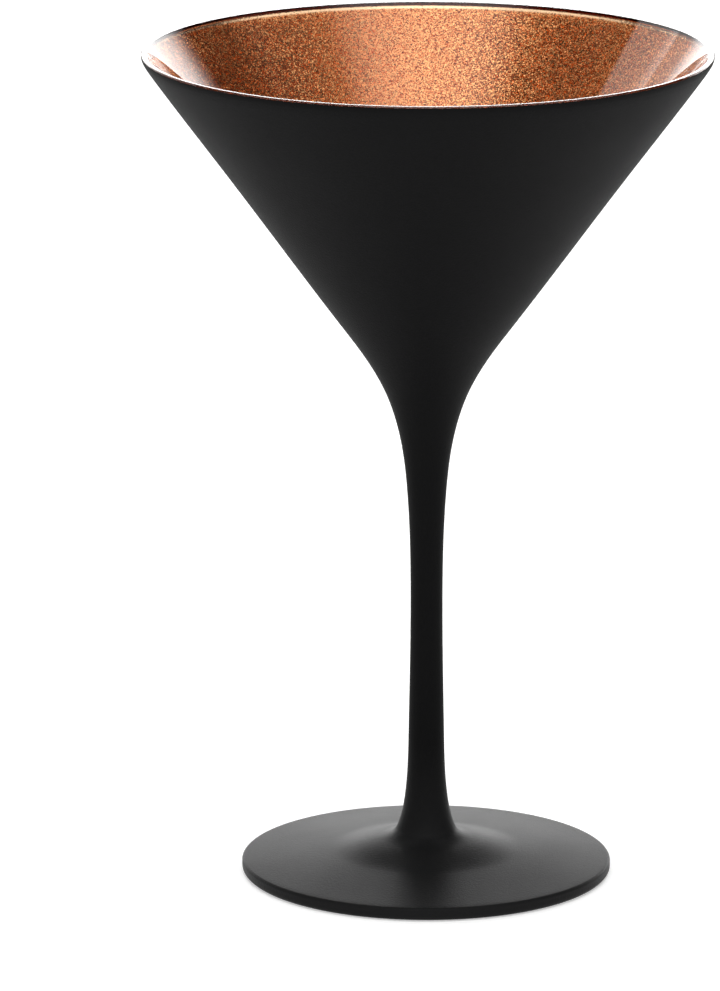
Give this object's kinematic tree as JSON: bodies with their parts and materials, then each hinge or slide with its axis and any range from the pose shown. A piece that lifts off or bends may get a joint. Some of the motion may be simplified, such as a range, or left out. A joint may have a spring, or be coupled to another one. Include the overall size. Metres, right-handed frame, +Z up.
{
  "type": "martini glass",
  "caption": "Stemmed cocktail glass with a wide conical bowl, clear glass with a bronze sparkle behind the bowl and a matte black lacquered outside.",
  "frame": {"origin": "on the glass's axis, in the plane that it stands on", "axes": "+Z up along the axis of the bowl, stem and foot; turned about Z, so X and Y are alike"},
  "size_m": [0.116, 0.116, 0.172],
  "materials": {
    "clear_glass": "clear crystal glass, fire polished",
    "bronze_lacquer": "bronze effect lacquer with fine sparkling flakes, seen through the bowl's glass",
    "black_lacquer": "matte black lacquer, faintly grained"
  },
  "bodies": {
    "root": {"bowl_glass": "clear_glass", "stem_glass": "clear_glass", "foot_glass": "clear_glass", "bronze_lacquer": "bronze_lacquer", "black_lacquer": "black_lacquer", "base_lacquer": "black_lacquer"}
  },
  "joints": []
}
